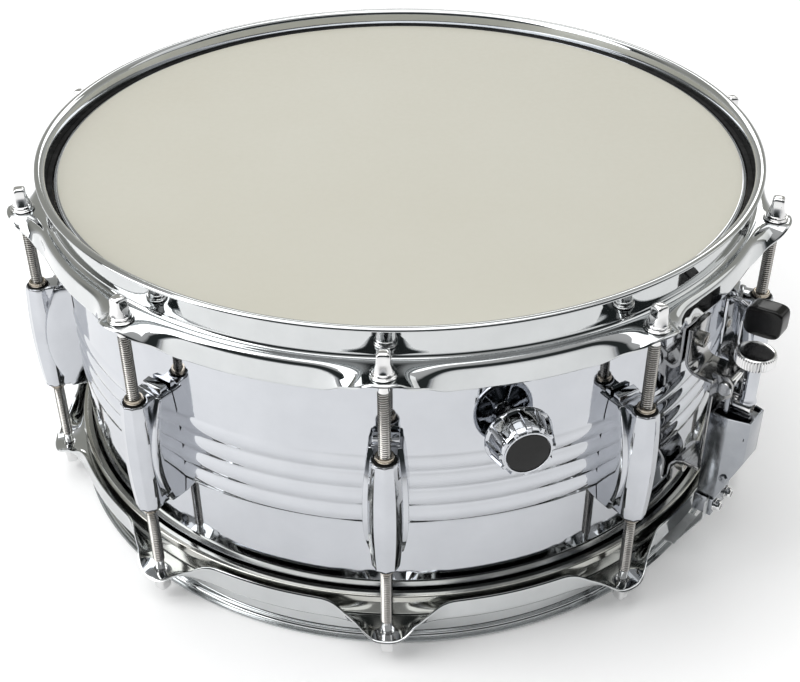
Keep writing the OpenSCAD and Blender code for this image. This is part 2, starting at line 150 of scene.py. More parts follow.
def rounded(points, radius, n=4):
    """A closed outline with its corners rounded."""
    out = []
    count = len(points)
    for i, p in enumerate(points):
        p = Vector(p)
        a = Vector(points[i - 1]) - p
        b = Vector(points[(i + 1) % count]) - p
        r = radius[i] if isinstance(radius, (list, tuple)) else radius
        half = a.angle(b) / 2
        if r <= 0 or half > math.radians(88):
            out.append(tuple(p))
            continue
        cut = min(r / math.tan(half), a.length * 0.48, b.length * 0.48)
        start, end = p + a.normalized() * cut, p + b.normalized() * cut
        for k in range(n + 1):
            t = k / n
            out.append(tuple((1 - t) ** 2 * start + 2 * t * (1 - t) * p + t * t * end))
    return out


def slab(outline, low, high, plane, edge=0.3, steps=2):
    """A plate from an outline, its rims rounded by edge. plane is 'xz' (thick along y), 'yz' or 'xy'."""
    n = len(outline)
    area = sum(outline[i][0] * outline[(i + 1) % n][1] - outline[(i + 1) % n][0] * outline[i][1]
               for i in range(n))
    pts = [Vector(p) for p in (outline if area > 0 else outline[::-1])]

    def inset(d):
        out = []
        for i in range(n):
            u = (pts[i] - pts[i - 1]).normalized()
            v = (pts[(i + 1) % n] - pts[i]).normalized()
            nu, nv = Vector((-u.y, u.x)), Vector((-v.y, v.x))
            m = nu + nv
            m = m / max(m.dot(nu), 0.35)
            out.append(pts[i] + m * d)
        return out

    levels = []
    for k in range(steps + 1):
        t = math.pi / 2 * k / steps
        levels.append((edge * (1 - math.sin(t)), low + edge * (1 - math.cos(t))))
    levels = levels + [(d, high - (h - low)) for d, h in levels[::-1]]
    rows = []
    for d, h in levels:
        row = []
        for p in inset(d):
            if plane == "xz":
                row.append((p.x, h, p.y))
            elif plane == "yz":
                row.append((h, p.x, p.y))
            else:
                row.append((p.x, p.y, h))
        rows.append(row)
    return grid(rows, False, True, True)


def box_part(low, high, edge=0.3):
    """A block with rounded edges."""
    outline = rounded([(low[0], low[1]), (high[0], low[1]), (high[0], high[1]), (low[0], high[1])], edge, 2)
    return slab(outline, low[2], high[2], "xy", edge)


def moved(part, fn):
    return [fn(v) for v in part[0]], part[1]


# ---------------------------------------------------------------- materials
def new_material(name):
    mat = bpy.data.materials.new(name)
    mat.use_nodes = True
    nt = mat.node_tree
    return mat, nt, nt.nodes["Principled BSDF"]


def noise(nt, scale, detail=3, rough=0.5, stretch=None, coord="Object"):
    tc = nt.nodes.new("ShaderNodeTexCoord")
    src = tc.outputs[coord]
    if stretch:
        mp = nt.nodes.new("ShaderNodeMapping")
        mp.inputs["Scale"].default_value = stretch
        nt.links.new(src, mp.inputs["Vector"])
        src = mp.outputs["Vector"]
    node = nt.nodes.new("ShaderNodeTexNoise")
    node.inputs["Scale"].default_value = scale
    node.inputs["Detail"].default_value = detail
    node.inputs["Roughness"].default_value = rough
    nt.links.new(src, node.inputs["Vector"])
    return node.outputs["Fac"]


def ramp(nt, fac, stops):
    node = nt.nodes.new("ShaderNodeValToRGB")
    el = node.color_ramp.elements
    while len(el) < len(stops):
        el.new(0.5)
    for e, (pos, col) in zip(el, stops):
        e.position = pos
        e.color = (*col, 1) if len(col) == 3 else (col[0],) * 3 + (1,)
    nt.links.new(fac, node.inputs["Fac"])
    return node.outputs["Color"]


def bump(nt, bsdf, fac, strength, distance, chain=None):
    node = nt.nodes.new("ShaderNodeBump")
    node.inputs["Strength"].default_value = strength
    node.inputs["Distance"].default_value = distance
    nt.links.new(fac, node.inputs["Height"])
    if chain:
        nt.links.new(chain, node.inputs["Normal"])
    nt.links.new(node.outputs["Normal"], bsdf.inputs["Normal"])
    return node.outputs["Normal"]


def metal(name, tint, dark, rough, wave=0.0, wave_scale=18, fine=0.02, fine_scale=900, stretch=None):
    """Plated metal: patchy tone, smudged gloss, a slow waviness of the surface and fine scratches."""
    mat, nt, bsdf = new_material(name)
    bsdf.inputs["Metallic"].default_value = 1.0
    smudge = noise(nt, 35, 5, 0.6)
    nt.links.new(ramp(nt, smudge, [(0.3, dark), (0.65, tint)]), bsdf.inputs["Base Color"])
    streak = noise(nt, 160, 4, 0.65, stretch)
    low, high = rough
    nt.links.new(ramp(nt, streak, [(0.35, (low,)), (0.75, (high,))]), bsdf.inputs["Roughness"])
    chain = None
    if wave:
        chain = bump(nt, bsdf, noise(nt, wave_scale, 1, 0.4), wave, 0.002)
    bump(nt, bsdf, noise(nt, fine_scale, 2, 0.6, stretch), fine, 0.0002, chain)
    return mat


chrome_shell = metal("chrome_shell", (0.56, 0.575, 0.605), (0.52, 0.535, 0.565), (0.03, 0.085), 0.05, 9)
chrome_hoop = metal("chrome_hoop", (0.60, 0.615, 0.62), (0.54, 0.555, 0.56), (0.03, 0.08), 0.03, 25)
chrome_cast = metal("chrome_cast", (0.56, 0.575, 0.605), (0.50, 0.515, 0.545), (0.035, 0.10), 0.04, 60)
chrome_small = metal("chrome_small", (0.80, 0.80, 0.80), (0.68, 0.68, 0.68), (0.05, 0.14), 0.03, 120)
steel_thread = metal("steel_thread", (0.42, 0.41, 0.39), (0.28, 0.27, 0.26), (0.12, 0.26), 0.0, 1, 0.1)
strainer_steel = metal("strainer_steel", (0.46, 0.46, 0.46), (0.34, 0.34, 0.34), (0.08, 0.2), 0.03, 90)
strainer_satin = metal("strainer_satin", (0.36, 0.375, 0.40), (0.27, 0.285, 0.31), (0.13, 0.24), 0.04, 70,
                       0.06, 500)
nut_metal = metal("nut_metal", (0.50, 0.45, 0.38), (0.36, 0.32, 0.27), (0.1, 0.25), 0.0, 1, 0.08)
flesh_metal = metal("flesh_metal", (0.50, 0.50, 0.47), (0.43, 0.43, 0.40), (0.16, 0.24), 0.02, 12, 0.03, 300)
zinc = metal("zinc", (0.60, 0.60, 0.57), (0.44, 0.44, 0.42), (0.2, 0.42), 0.0, 1, 0.2)
spring_steel = metal("spring_steel", (0.45, 0.45, 0.46), (0.3, 0.3, 0.3), (0.2, 0.4), 0.0, 1, 0.1)
inner_steel = metal("inner_steel", (0.5, 0.5, 0.5), (0.4, 0.4, 0.4), (0.25, 0.45), 0.03, 12, 0.2)


def coated_film():
    """Matt white sprayed coating: faint mottling and a fine grain."""
    mat, nt, bsdf = new_material("coated_film")
    tone = noise(nt, 6, 4, 0.6)
    nt.links.new(ramp(nt, tone, [(0.3, (0.505, 0.492, 0.422)), (0.7, (0.525, 0.515, 0.450))]),
                 bsdf.inputs["Base Color"])
    nt.links.new(ramp(nt, noise(nt, 300, 3), [(0.3, (0.42,)), (0.7, (0.55,))]), bsdf.inputs["Roughness"])
    bsdf.inputs["Specular IOR Level"].default_value = 0.4
    chain = bump(nt, bsdf, noise(nt, 22, 2), 0.03, 0.001)
    bump(nt, bsdf, noise(nt, 2600, 3, 0.7), 0.12, 0.0002, chain)
    return mat


def plain_film(name, low, high, rough=0.12, alpha=1.0):
    mat, nt, bsdf = new_material(name)
    nt.links.new(ramp(nt, noise(nt, 14, 4), [(0.3, low), (0.7, high)]), bsdf.inputs["Base Color"])
    nt.links.new(ramp(nt, noise(nt, 90, 3), [(0.3, (rough,)), (0.7, (rough * 2,))]), bsdf.inputs["Roughness"])
    bump(nt, bsdf, noise(nt, 30, 2), 0.04, 0.0006)
    if alpha < 1:
        bsdf.inputs["Alpha"].default_value = alpha
    return mat


def black(name, tone, rough, grain, grain_scale):
    mat, nt, bsdf = new_material(name)
    nt.links.new(ramp(nt, noise(nt, 70, 4), [(0.3, (tone,) * 3), (0.8, (tone * 1.8,) * 3)]),
                 bsdf.inputs["Base Color"])
    nt.links.new(ramp(nt, noise(nt, 240, 3), [(0.3, (rough,)), (0.7, (rough * 1.5,))]),
                 bsdf.inputs["Roughness"])
    bump(nt, bsdf, noise(nt, grain_scale, 3), grain, 0.0002)
    bsdf.inputs["Specular IOR Level"].default_value = 0.25
    return mat


film_coated = coated_film()
film_clear = plain_film("film_clear", (0.52, 0.54, 0.55), (0.60, 0.62, 0.63))
film_collar = plain_film("film_collar", (0.36, 0.36, 0.33), (0.46, 0.46, 0.43), 0.18)
strap_plastic = plain_film("strap_plastic", (0.70, 0.72, 0.73), (0.78, 0.80, 0.81), 0.2)
black_enamel = black("black_enamel", 0.012, 0.3, 0.05, 900)
black_rubber = black("black_rubber", 0.004, 0.12, 0.03, 700)
# painted shade: a near-black material laid as dark sheets in gaps and holes where there is only shade
painted_shade = black("painted_shade", 0.008, 0.7, 0.1, 500)
felt = black("felt", 0.10, 0.9, 0.8, 1600)


# ---------------------------------------------------------------- camera and light
cam_data = bpy.data.cameras.new("camera")
cam = bpy.data.objects.new("camera", cam_data)
scene.collection.objects.link(cam)
look = Vector((-0.02980, 0.82283, -0.56750)).normalized()
right = Vector((0.99943, 0.03357, -0.00380)).normalized()
up = right.cross(look).normalized()
right = look.cross(up).normalized()
place = Vector((0.02096, -0.58874, 0.45467))
cam.matrix_world = Matrix((
    (right.x, up.x, -look.x, place.x),
    (right.y, up.y, -look.y, place.y),
    (right.z, up.z, -look.z, place.z),
    (0, 0, 0, 1)))
cam_data.sensor_width = 36
cam_data.lens = 55.25
cam_data.clip_start = 0.01
scene.camera = cam
scene.view_settings.view_transform = "Standard"
scene.view_settings.look = "None"


def area(name, loc, target, size, power):
    data = bpy.data.lights.new(name, "AREA")
    data.shape = "RECTANGLE"
    data.size, data.size_y = size
    data.energy = power
    ob = bpy.data.objects.new(name, data)
    ob.location = loc
    ob.rotation_euler = (Vector(target) - Vector(loc)).to_track_quat("-Z", "Y").to_euler()
    scene.collection.objects.link(ob)


def studio():
    world = bpy.data.worlds.new("studio")
    scene.world = world
    world.use_nodes = True
    nt = world.node_tree
    bg = nt.nodes["Background"]
    tc = nt.nodes.new("ShaderNodeTexCoord")
    sep = nt.nodes.new("ShaderNodeSeparateXYZ")
    nt.links.new(tc.outputs["Generated"], sep.inputs["Vector"])
    behind = ramp(nt, sep.outputs["Z"], [(0.0, (0.80, 0.80, 0.80)), (0.10, (0.55, 0.55, 0.53)),
                                         (0.30, (0.42, 0.42, 0.39)),
                                        (0.62, (0.38, 0.38, 0.35)), (0.74, (0.55, 0.55, 0.55)),
                                        (1.0, (0.6, 0.6, 0.6))])
    before = ramp(nt, sep.outputs["Z"], [(0.0, (0.60, 0.61, 0.63)), (0.07, (0.22, 0.23, 0.24)),
                                         (0.16, (0.03, 0.035, 0.035)),
                                        (0.60, (0.03, 0.035, 0.035)), (0.74, (0.50, 0.50, 0.50)),
                                        (1.0, (0.6, 0.6, 0.6))])
    side = ramp(nt, sep.outputs["Y"], [(0.0, (0,)), (0.35, (1,))])
    mix = nt.nodes.new("ShaderNodeMix")
    mix.data_type = "RGBA"
    nt.links.new(side, mix.inputs["Factor"])
    nt.links.new(before, mix.inputs[6])
    nt.links.new(behind, mix.inputs[7])
    nt.links.new(mix.outputs[2], bg.inputs["Color"])
    bg.inputs["Strength"].default_value = 1.0
    area("key_left", (-1.5, -0.5, 1.1), (0, 0, 0.1), (1.1, 1.6), 20)
    area("key_right", (1.5, 0.2, 1.2), (0, 0, 0.1), (0.9, 1.5), 3.5)
    area("top", (-0.3, 0.1, 2.2), (0, 0, 0), (2.4, 2.0), 26)
    area("back", (0.2, 1.9, 1.3), (0, 0, 0.1), (1.6, 0.4), 5)


studio()


def floor():
    me = bpy.data.meshes.new("floor")
    s = 6.0
    me.from_pydata([(-s, -s, 0), (s, -s, 0), (s, s, 0), (-s, s, 0)], [], [(0, 1, 2, 3)])
    mat, nt, bsdf = new_material("floor_paper")
    nt.links.new(ramp(nt, noise(nt, 3, 3), [(0.3, (0.93, 0.93, 0.935)), (0.7, (0.96, 0.96, 0.96))]),
                 bsdf.inputs["Base Color"])
    bsdf.inputs["Roughness"].default_value = 0.8
    bsdf.inputs["Specular IOR Level"].default_value = 0.2
    bsdf.inputs["Emission Color"].default_value = (1, 1, 1, 1)
    bsdf.inputs["Emission Strength"].default_value = 0.15
    me.materials.append(mat)
    ob = bpy.data.objects.new("floor", me)
    scene.collection.objects.link(ob)


floor()


# ---------------------------------------------------------------- shell
def shell():
    out_r, in_r, step, rise = 177.8, 176.6, 10.2, 1.15
    first = MID - 2 * step

    def beads(r):
        pts = []
        for b in range(4):
            for k in range(16):
                u = k / 16
                lift = math.sqrt(math.sin(math.pi * u) ** 2 + 0.01) - 0.1
                pts.append((r + rise * lift, first + (b + u) * step))
        return pts + [(r, first + 4 * step)]

    edge_out = [(173.6, 8.5), (175.4, 8.5)] + arc(175.5, 10.8, 2.3, -85, 0, 5)
    low_in = [(176.6, 12.5), (175.6, 10.6), (173.6, 9.7)]
    profile = edge_out + [(out_r, 30), (out_r, 52), (out_r, first - 0.2)] + beads(out_r) + [(out_r, TOP - 30)]
    profile += [(r, TOP - z) for r, z in edge_out[::-1]]
    profile += [(r, TOP - z) for r, z in low_in[::-1]]
    profile += [(in_r, TOP - 30)] + beads(in_r)[::-1] + [(in_r, 30)] + low_in
    build("shell_body", [(*ring(profile, 400), None)], chrome_shell, "drum", ["shell"], 30)
    vent = [(8.5, 177.9), (8.5, 178.4), (7.9, 178.95), (6.2, 179.1), (5.0, 178.7), (4.5, 178.0), (4.5, 175.2),
            (7.4, 175.2), (7.5, 176.0), (5.9, 176.2), (5.9, 177.9)]
    vent_ring = (*turned(vent, (0, VENT_Z), 48, "x", True), VENT)
    # A dark disc behind the vent hole: painted shade of the drum's inside seen through it.
    vent_shade_disc = (*turned([(4.6, 175.4), (4.6, 175.5)], (0, VENT_Z), 32, "x"), VENT)
    build("vent_ring", [vent_ring], chrome_small, "drum", ["vent_grommet"])
    build("vent_painted_shade", [vent_shade_disc], painted_shade, "drum")


shell()


# ---------------------------------------------------------------- hoops
TILTS = [(0, 90), (5, 89), (7.5, 84), (10, 72), (12.5, 56), (15.5, 38), (19, 22), (23, 10), (28, 2.5),
         (33, 0), (60, 0)]


def smooth_at(table, s):
    s = abs(s)
    for i in range(len(table) - 1):
        if s <= table[i + 1][0]:
            x0, y0 = table[i]
            x1, y1 = table[i + 1]
            m0 = 0 if i == 0 else (y1 - table[i - 1][1]) / (x1 - table[i - 1][0])
            m1 = 0 if i + 2 >= len(table) else (table[i + 2][1] - y0) / (table[i + 2][0] - x0)
            h = x1 - x0
            t = (s - x0) / h
            return ((2 * t**3 - 3 * t * t + 1) * y0 + (t**3 - 2 * t * t + t) * h * m0
                    + (3 * t * t - 2 * t**3) * y1 + (t**3 - t * t) * h * m1)
    return table[-1][1]


SKIRT = [0, 0.06, 0.21, 0.362, 0.513, 0.664, 0.8, 0.92, 1.0]


def hoop_path(s):
    """Centre line of the sheet and its normal, lower side: [(r, z, nr, nz)]. s is the distance from an ear."""
    tilt = smooth_at(TILTS, s)
    ear = max(0.0, 1 - (abs(s) / 13) ** 2) ** 2
    path = []
    for i in range(3):
        a = math.radians(-60 - 30 * i / 3)
        path.append((183.7 + 3.0 * math.cos(a), 3.7 + 3.0 * math.sin(a), math.cos(a), math.sin(a)))
    for i in range(9):
        a = math.radians(-90 - 90 * i / 8)
        path.append((183.7 + 2.4 * math.cos(a), 3.1 + 2.4 * math.sin(a), math.cos(a), math.sin(a)))
    for z in (5.5, 8.5, 11.0, 13.0):
        path.append((181.3, z, -1, 0))
    for i in range(8):
        a = math.radians(180 - 90 * i / 7)
        path.append((184.4 + 3.1 * math.cos(a), 14.1 + 3.1 * math.sin(a), math.cos(a), math.sin(a)))
    r0, z0 = 184.9, 17.2
    bend = 2.8 + 2.0 * math.exp(-((abs(s) - 15) / 8) ** 2)
    turn = math.radians(90 - tilt)
    total = 13.8 + 2.2 * ear - 2.6 * math.exp(-((abs(s) - 17) / 6.5) ** 2)
    arc_len = bend * math.pi / 2
    radius = arc_len / turn if turn > 1e-3 else None
    end = None
    for i in range(9):
        if radius:
            a = turn * i / 8
            p = (r0 + radius * math.sin(a), z0 + radius * (1 - math.cos(a)))
            d = (math.cos(a), math.sin(a))
        else:
            p = (r0 + arc_len * i / 8, z0)
            d = (1.0, 0.0)
        path.append((p[0], p[1], -d[1], d[0]))
        end = (p, d)
    (pr, pz), (dr, dz) = end
    rest = total - arc_len
    for fr in SKIRT[1:]:
        path.append((pr + dr * rest * fr, pz + dz * rest * fr, -dz, dr))
    return path


def hoop(name, upper, gates, nodes):
    cols = 144 * LUGS
    half = 0.7
    n_path = len(hoop_path(0))
    first_skirt = n_path - len(SKIRT)
    outer, inner = [], []
    for c in range(cols):
        az = 360 * c / cols
        near = (az + PITCH / 2) % PITCH - PITCH / 2
        s = 188 * math.radians(near)
        k_col = round(near / (360 / cols))
        a_row, b_row = [], []
        for k, (r, z, nr, nz) in enumerate(hoop_path(s)):
            daz = 0.0
            j = k - first_skirt
            if abs(k_col) <= 4 and 1 <= j <= 5:
                u, v = k_col / 4, (j - 3) / 2
                if max(abs(u), abs(v)) > 0.99:
                    ln = math.hypot(u, v)
                    r = ROD_R + 3.5 * v / ln
                    daz = math.degrees(3.5 * u / ln / ROD_R) - near
                    z = 17.2 - 0.02
                    nr, nz = 0, 1
            az2 = az + daz
            for row, sign in ((a_row, 1), (b_row, -1)):
                row.append((r + sign * half * nr, az2, z + sign * half * nz))
        outer.append(a_row)
        inner.append(b_row)

    def removed(c, k):
        """Cells left out: the ear holes and the snare gates."""
        c, j = c % cols, k - first_skirt
        near = (c + 72) % 144 - 72
        if -4 <= near <= 3 and 1 <= j <= 4:
            return True
        if gates and 11 <= k <= 14:
            for g in (STRAINER, STRAINER + 180):
                off = (360 * (c + 0.5) / cols - g + 180) % 360 - 180
                if abs(181.3 * math.radians(off)) < 18.5:
                    return True
        return False

    def to_xyz(p):
        r, az, z = p
        a = math.radians(az)
        return (r * math.sin(a), -r * math.cos(a), TOP - z if upper else z)

    verts = [to_xyz(p) for row in outer for p in row] + [to_xyz(p) for row in inner for p in row]
    shift = cols * n_path
    rims = []
    for c in range(cols):
        for k, tag in ((0, -1), (n_path - 1, 1)):
            ro, ri = outer[c][k], inner[c][k]
            mid = [(ro[i] + ri[i]) / 2 for i in range(3)]
            p = hoop_path(188 * math.radians((360 * c / cols + PITCH / 2) % PITCH - PITCH / 2))[k]
            dr, dz = (p[3], -p[2]) if tag > 0 else (-p[3], p[2])
            rims.append(to_xyz((mid[0] + dr * half * 0.75, mid[1], mid[2] + dz * half * 0.75)))
    rim_base = len(verts)
    verts += rims
    faces = []
    for c in range(cols):
        d = (c + 1) % cols
        for k in range(n_path - 1):
            if removed(c, k):
                continue
            faces.append((c * n_path + k, d * n_path + k, d * n_path + k + 1, c * n_path + k + 1))
            faces.append((shift + c * n_path + k, shift + c * n_path + k + 1, shift + d * n_path + k + 1,
                          shift + d * n_path + k))
            for (c2, k2, e) in ((c - 1, k, ((c, k), (c, k + 1))), (c + 1, k, ((d, k), (d, k + 1))),
                                (c, k - 1, ((c, k), (d, k))), (c, k + 1, ((c, k + 1), (d, k + 1)))):
                if 0 <= k2 < n_path - 1 and removed(c2, k2):
                    (ca, ka), (cb, kb) = e
                    a, b = ca * n_path + ka, cb * n_path + kb
                    faces.append((a, b, shift + b, shift + a))
        for idx, k in ((0, 0), (1, n_path - 1)):
            m, m2 = rim_base + 2 * c + idx, rim_base + 2 * d + idx
            faces.append((c * n_path + k, d * n_path + k, m2, m))
            faces.append((m, m2, shift + d * n_path + k, shift + c * n_path + k))
    build(name, [(verts, faces, None)], chrome_hoop, "drum", nodes, 62)


hoop("upper_hoop", True, False, ["batter_hoop"])
hoop("lower_hoop", False, True, ["snare_side_hoop"])


# ---------------------------------------------------------------- heads
def head(name, upper, nodes, main, flesh_name, flesh_nodes):
    def z_of(z):
        return TOP - z if upper else z

    rows = []
    prof = [(60, 8.27), (120, 8.27), (160, 8.27), (171, 8.27), (174.4, 8.3), (176.4, 8.7), (177.6, 9.9),
            (178.1, 11.5)]
    film = [(0.01, 8.27)] + prof
    for r, z in film:
        rows.append([(r * math.cos(2 * math.pi * i / 256), r * math.sin(2 * math.pi * i / 256),
                      z_of(z)) for i in range(256)])
    under = [(178.1, 11.8), (177.9, 11.8), (176.2, 9.2), (174.2, 8.49), (120, 8.47), (0.01, 8.47)]
    for r, z in under:
        rows.append([(r * math.cos(2 * math.pi * i / 256), r * math.sin(2 * math.pi * i / 256),
                      z_of(z)) for i in range(256)])
    build(name, [(*grid(rows, False, True, True), None)], main, "drum", nodes, 60)
    collar = [(178.15, 11.6), (178.3, 14), (178.5, 20.0), (178.25, 20.0), (178.0, 14), (177.9, 11.6)]
    build(name + "_collar", [(*ring([(r, z_of(z)) for r, z in collar], 256), None)], film_collar, "drum")
    # A dark ring at the foot of the gap between the head's collar and the hoop: painted shade.
    shade_ring = [(178.1, 9.6), (178.2, 9.2), (180.5, 9.2), (180.55, 9.6), (180.5, 12.0), (178.2, 12.0)]
    build(name + "_gap", [(*ring([(r, z_of(z)) for r, z in shade_ring], 256), None)], painted_shade, "drum")
    channel = rounded([(178.6, 18.1), (184.0, 18.1), (184.2, 26.5), (183.4, 29.4), (181.5, 29.9),
                       (178.9, 29.2)],
                      [0.6, 0.9, 1.5, 1.0, 1.0, 0.6], 4)
    build(flesh_name, [(*ring([(r, z_of(z)) for r, z in channel], 256), None)], flesh_metal, "drum",
          flesh_nodes, 50)


head("upper_film", True, ["batter_head"], film_coated, "upper_flesh_hoop", ["batter_flesh_hoop"])
head("lower_film", False, ["snare_side_head"], film_clear, "lower_flesh_hoop", ["snare_side_flesh_hoop"])


# ---------------------------------------------------------------- lugs
def edge_at(z):
    """How far out the lens-shaped side plates reach at height z."""
    return 194.0 - (z - MID) ** 2 / 109


def lug_outline(z, inset):
    """Half outline from the nose back to the shell at height z: [(x, y)]."""
    dz = abs(z - MID)
    wc = 7.9 - dz * dz / 580 - inset
    side = 10.2 - dz * dz / 358 - inset
    neck = 6.1 - (dz / 30.5) ** 2 * 0.4 - inset
    xf = edge_at(z)
    pts = [(ROD_R + wc, 0.0)]
    for a in (19, 38, 56.5, 75):
        corner = {19: (0, 38), 56.5: (38, 75)}.get(a)
        if corner:
            p0 = [wc * math.cos(math.radians(corner[0])), wc * math.sin(math.radians(corner[0]))]
            p1 = [wc * math.cos(math.radians(corner[1])), wc * math.sin(math.radians(corner[1]))]
            bulge = 0.985
            pts.append((ROD_R + (p0[0] + p1[0]) / 2 * bulge, (p0[1] + p1[1]) / 2 * bulge))
        else:
            pts.append((ROD_R + wc * math.cos(math.radians(a)), wc * math.sin(math.radians(a))))

    def plain(x):
        d = x - ROD_R
        circle = math.sqrt(wc * wc - d * d) if abs(d) < wc else 0
        return max(circle, neck) if x < ROD_R else circle

    front = max(ROD_R + 0.6, xf + 0.9)
    n_r = 7
    for i in range(n_r):
        x = front + (xf + 0.45 - front) * i / (n_r - 1)
        pts.append((x, plain(x)))
    base = plain(xf + 0.45)
    pts.append((xf + 0.15, base + (side - base) * 0.55))
    pts.append((xf - 0.15, base + (side - base) * 0.92))
    pts.append((xf - 0.6, side))
    for i in range(1, 5):
        t = i / 4
        pts.append((xf - 0.6 + (178.0 - xf + 0.6) * t, side))
    return pts


def lug_part():
    levels = [(60.5, 0.9), (60.62, 0.5), (60.95, 0.18), (61.6, 0.0)]
    z = 63.0
    while z < 120.5:
        levels.append((z, 0.0))
        z += 1.6
    levels += [(120.9, 0.0), (121.25, 0.12), (121.4, 0.28), (121.5, 0.5)]
    rows = []
    for z, inset in levels:
        half = lug_outline(z, inset)
        rows.append([(x, y, z) for x, y in half] + [(x, -y, z) for x, y in half[:0:-1]])
    return grid(rows, False, True, True)


def lugs():
    body, collars, shade_rings = [], [], []
    part = lug_part()
    base = 121.5
    ridge = box_part((183.2, -6.2, 121.3), (185.0, 6.2, 122.3), 0.25)
    tab = slab(rounded([(178.9, 121.3), (183.4, 121.3), (182.6, 124.2), (178.9, 124.6)], [0, 0.3, 0.8, 0], 3),
               -6.0, 6.0, "xz", 0.4)
    for i in range(LUGS):
        az = i * PITCH
        body += [(*part, az), (*ridge, az), (*tab, az)]
        for upper in (True, False):
            prof = [(2.95, base - 6), (4.2, base - 6), (4.2, base + 0.2), (4.4, base + 0.4),
                    (4.4, base + 1.3), (4.0, base + 1.5),
                    (4.0, base + 1.9), (4.25, base + 2.1), (4.15, base + 2.5), (3.7, base + 2.65),
                    (3.1, base + 2.62), (2.95, base + 2.4)]
            rim = [(5.35, base + 0.02), (5.9, base + 0.02), (5.85, base + 0.12), (5.6, base + 0.2),
                   (5.4, base + 0.12)]
            # A dark ring round each rod in the lug top: painted shade in the gap between collar and lug.
            shade_hole = [(3.9, base + 0.03), (5.45, base + 0.03), (5.45, base + 0.06), (3.9, base + 0.06)]
            for group, p in ((collars, prof), (body, rim), (shade_rings, shade_hole)):
                ringed = turned(p, (ROD_R, 0), 40, "z", True)
                if not upper:
                    ringed = moved(ringed, flip_z)
                group.append((*ringed, az))
    build("lug_castings", body, chrome_cast, "drum", ["lugs"], 26)
    build("lug_hole_painted_shade", shade_rings, painted_shade, "drum")
    build("swivel_collars", collars, nut_metal, "drum", ["swivel_nuts"])


lugs()


# ---------------------------------------------------------------- tension rods and washers
def thread(z0, z1, r_out, depth, step, n=20):
    """A helical thread as rings that climb by one step per turn."""
    rows = []
    shape = [0, 0.35, 1, 1, 0.35]
    m = len(shape)
    count = int((z1 - z0) / step * m) + 2 * m
    for k in range(count):
        row = []
        for i in range(n + 1):
            z = z0 - step + (k / m + i / n) * step
            fade = min(1, max(0, (min(z - z0, z1 - z)) / 0.8))
            r = r_out - depth * (1 - shape[k % m] * fade)
            row.append((ROD_R + r * math.cos(2 * math.pi * i / n), r * math.sin(2 * math.pi * i / n),
                        min(max(z, z0), z1)))
        rows.append(row)
    return grid(rows, False, False)


def square_head(base):
    """Flange, cone and square head with rounded corners, in one skin."""
    def section(half, power, z, n=48):
        pts = []
        for i in range(n):
            t = 2 * math.pi * (i + 0.5) / n
            c, s = math.cos(t), math.sin(t)
            r = half / (abs(c) ** power + abs(s) ** power) ** (1 / power)
            pts.append((ROD_R + r * c, r * s, z))
        return pts

    levels = [(4.7, 2, 0.0), (4.9, 2, 0.15), (4.9, 2, 0.95), (4.7, 2, 1.15), (4.5, 2, 1.2), (4.35, 2.2, 1.4),
              (3.9, 2.8, 2.6),
              (3.5, 3.8, 3.8), (3.2, 5, 4.8), (3.03, 7, 5.5), (2.98, 9, 6.0), (2.92, 9, 8.2), (2.85, 7, 8.9),
              (2.65, 5, 9.5), (2.3, 4, 9.9), (1.6, 3, 10.1), (0.7, 2, 10.15)]
    return grid([section(h, p, base + z) for h, p, z in levels], False, True, True)


def rods():
    ear = 165.65
    neck = turned([(2.55, 157.6), (2.45, 158.2), (2.35, 159.2), (2.35, 166.9), (3.2, 167.05)], (ROD_R, 0), 32)
    tip = turned([(1.6, 100.0), (2.45, 100.7), (2.5, 101.5)], (ROD_R, 0), 24)
    thr = thread(101.0, 158.0, 2.8, 0.62, 1.15)
    top = square_head(ear + 1.4)
    washers = []
    wash = [(2.6, ear + 0.02), (5.6, ear + 0.02), (5.9, ear + 0.2), (5.9, ear + 0.5), (5.65, ear + 0.66),
            (5.5, ear + 0.72), (5.6, ear + 0.8),
            (5.55, ear + 1.2), (5.3, ear + 1.38), (2.6, ear + 1.38)]
    washer = turned(wash, (ROD_R, 0), 48, "z", True)
    for side in ("batter", "snare"):
        for i in range(LUGS):
            az = i * PITCH
            group = [neck, tip, thr, top]
            if side == "snare":
                group = [moved(g, flip_z) for g in group]
            node = "%s_rod_%d" % (side, i + 1)
            build("%s_key_rod_%d" % (side, i + 1), [(*group[0], az, 0), (*group[1], az, 1),
                                                    (*group[2], az, 1), (*group[3], az, 0)],
                       None, node, [node], 38, [chrome_small, steel_thread])
            washers.append((*(washer if side == "batter" else moved(washer, flip_z)), az))
    build("rod_washer_rings", washers, chrome_small, "drum", ["rod_washers"])


rods()


